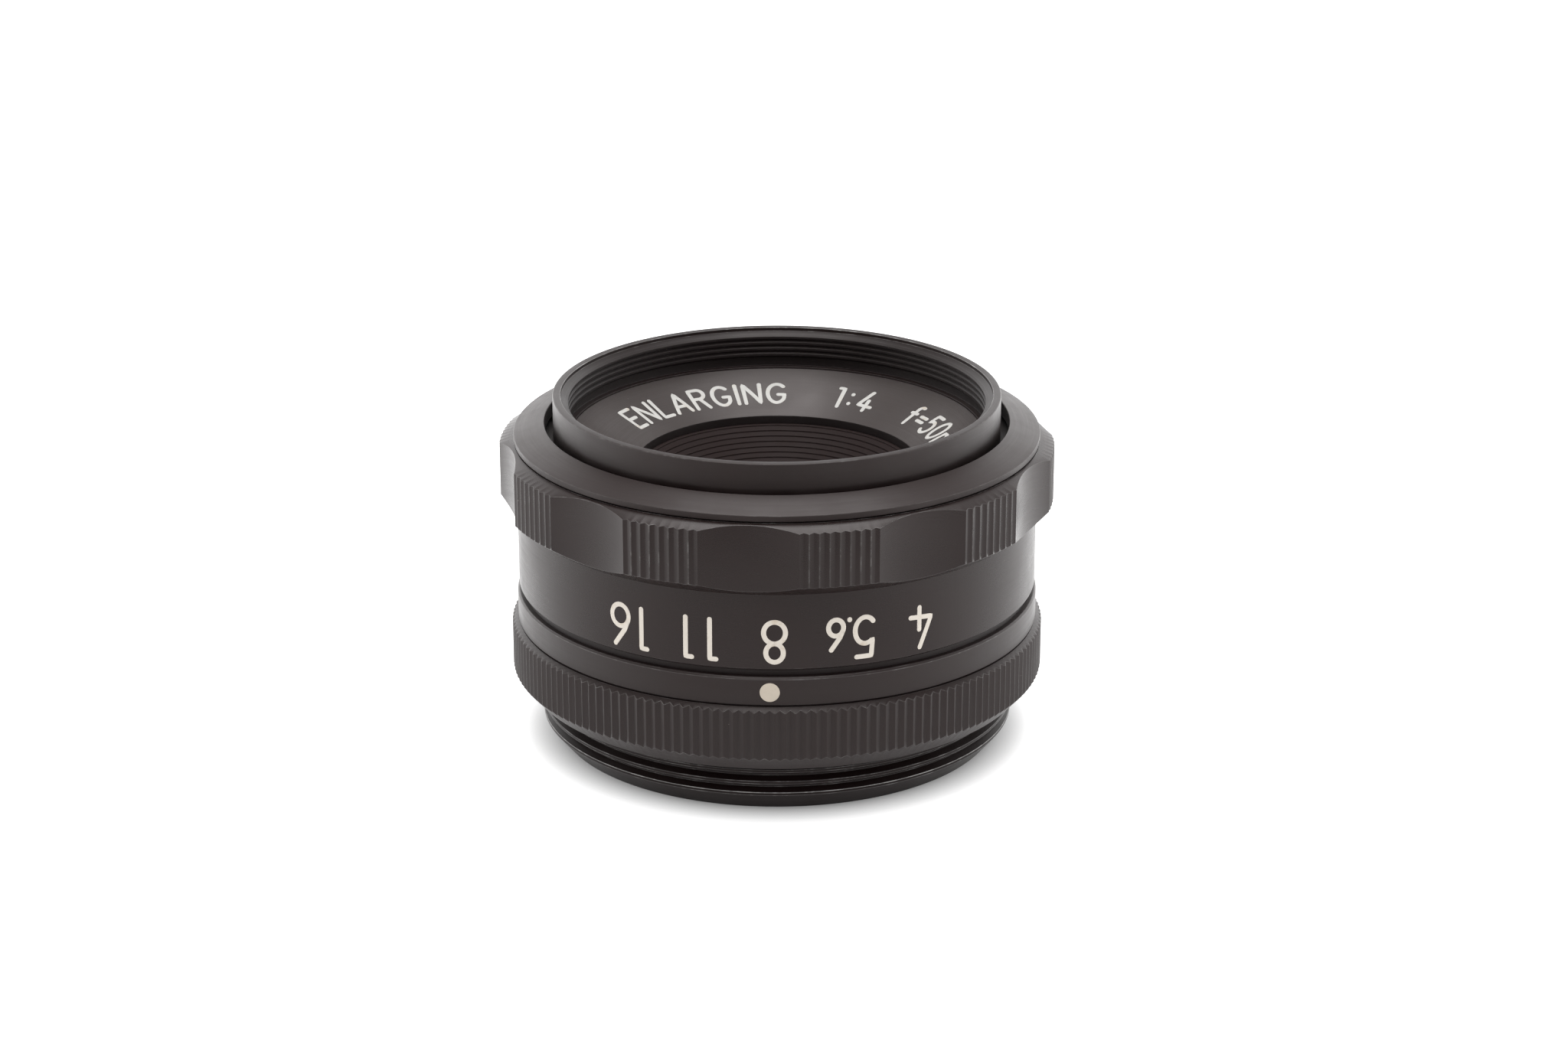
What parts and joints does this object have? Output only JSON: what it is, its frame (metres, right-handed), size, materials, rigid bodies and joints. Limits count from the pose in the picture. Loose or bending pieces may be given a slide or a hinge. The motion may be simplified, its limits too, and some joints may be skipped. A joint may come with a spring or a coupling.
{
  "type": "enlarger lens",
  "caption": "Short black photographic enlarging lens with a threaded rear mount, a knurled base, a click-stopped aperture ring and an internal multi-blade iris.",
  "frame": {"origin": "centre of the rear thread rim, on the plane that the lens stands on", "axes": "+Z along the optical axis, from the rear thread to the front rim; the index dot faces -Y"},
  "size_m": [0.0454, 0.045, 0.0289],
  "materials": {
    "satin_black": "satin black anodised",
    "name_ring_black": "satin black anodised",
    "inner_black": "matte black anodised",
    "baffle_black": "matte black",
    "index_paint": "satin cream enamel",
    "scale_paint": "satin cream enamel",
    "dark_steel": "blackened",
    "bright_steel": "satin",
    "spring_bronze": "satin",
    "brass": "satin",
    "blade_steel": "blackened",
    "glass": "polished and coated"
  },
  "bodies": {
    "barrel": {"mount_base": "satin_black", "index_dot": "index_paint", "base_set_screws": "dark_steel", "main_barrel": "inner_black", "thrust_washer": "inner_black", "ring_retainer": "inner_black", "front_ring": "satin_black", "name_ring": "name_ring_black", "front_baffle": "baffle_black", "front_cell": "inner_black", "front_element": "glass", "element_spacer": "inner_black", "middle_element": "glass", "blade_seat": "brass", "iris_snap_ring": "bright_steel", "rear_cell": "inner_black", "rear_element_inner": "glass", "rear_element_outer": "glass", "rear_retainer": "inner_black", "rear_baffle": "baffle_black", "click_spring": "spring_bronze", "click_spring_screw": "bright_steel"},
    "aperture_control": {"aperture_ring": "satin_black", "ring_cap": "satin_black", "drive_screw": "dark_steel", "cam_ring": "brass"},
    "blade_1": {"iris_blade_1": "blade_steel"},
    "blade_2": {"iris_blade_2": "blade_steel"},
    "blade_3": {"iris_blade_3": "blade_steel"},
    "blade_4": {"iris_blade_4": "blade_steel"},
    "blade_5": {"iris_blade_5": "blade_steel"},
    "blade_6": {"iris_blade_6": "blade_steel"},
    "blade_7": {"iris_blade_7": "blade_steel"},
    "blade_8": {"iris_blade_8": "blade_steel"},
    "click_detent": {"click_ball": "bright_steel"}
  },
  "joints": [
    {"name": "aperture_turn", "type": "hinge", "parent": "barrel", "child": "aperture_control", "pos_m": [0, 0, 0.0187], "axis": [0, 0, 1], "range_deg": [-32, 32]},
    {"name": "blade_1_turn", "type": "hinge", "parent": "barrel", "child": "blade_1", "pos_m": [0.0106, 0, 0.01305], "axis": [0, 0, 1], "range_deg": [-12.29, 12.29]},
    {"name": "blade_2_turn", "type": "hinge", "parent": "barrel", "child": "blade_2", "pos_m": [0.0075, 0.0075, 0.01305], "axis": [0, 0, 1], "range_deg": [-12.29, 12.29]},
    {"name": "blade_3_turn", "type": "hinge", "parent": "barrel", "child": "blade_3", "pos_m": [0, 0.0106, 0.01305], "axis": [0, 0, 1], "range_deg": [-12.29, 12.29]},
    {"name": "blade_4_turn", "type": "hinge", "parent": "barrel", "child": "blade_4", "pos_m": [-0.0075, 0.0075, 0.01305], "axis": [0, 0, 1], "range_deg": [-12.29, 12.29]},
    {"name": "blade_5_turn", "type": "hinge", "parent": "barrel", "child": "blade_5", "pos_m": [-0.0106, 0, 0.01305], "axis": [0, 0, 1], "range_deg": [-12.29, 12.29]},
    {"name": "blade_6_turn", "type": "hinge", "parent": "barrel", "child": "blade_6", "pos_m": [-0.0075, -0.0075, 0.01305], "axis": [0, 0, 1], "range_deg": [-12.29, 12.29]},
    {"name": "blade_7_turn", "type": "hinge", "parent": "barrel", "child": "blade_7", "pos_m": [0, -0.0106, 0.01305], "axis": [0, 0, 1], "range_deg": [-12.29, 12.29]},
    {"name": "blade_8_turn", "type": "hinge", "parent": "barrel", "child": "blade_8", "pos_m": [0.0075, -0.0075, 0.01305], "axis": [0, 0, 1], "range_deg": [-12.29, 12.29]},
    {"name": "click_travel", "type": "slide", "parent": "barrel", "child": "click_detent", "axis": [1, 0, 0], "range_m": [0, 0.00015], "stiffness_N_per_m": 1000, "springref_m": 0.0005}
  ],
  "couplings": [
    {"joint": "blade_1_turn", "follows": "aperture_turn", "ratio": 0.3836},
    {"joint": "blade_2_turn", "follows": "aperture_turn", "ratio": 0.3836},
    {"joint": "blade_3_turn", "follows": "aperture_turn", "ratio": 0.3836},
    {"joint": "blade_4_turn", "follows": "aperture_turn", "ratio": 0.3836},
    {"joint": "blade_5_turn", "follows": "aperture_turn", "ratio": 0.3836},
    {"joint": "blade_6_turn", "follows": "aperture_turn", "ratio": 0.3836},
    {"joint": "blade_7_turn", "follows": "aperture_turn", "ratio": 0.3836},
    {"joint": "blade_8_turn", "follows": "aperture_turn", "ratio": 0.3836}
  ]
}
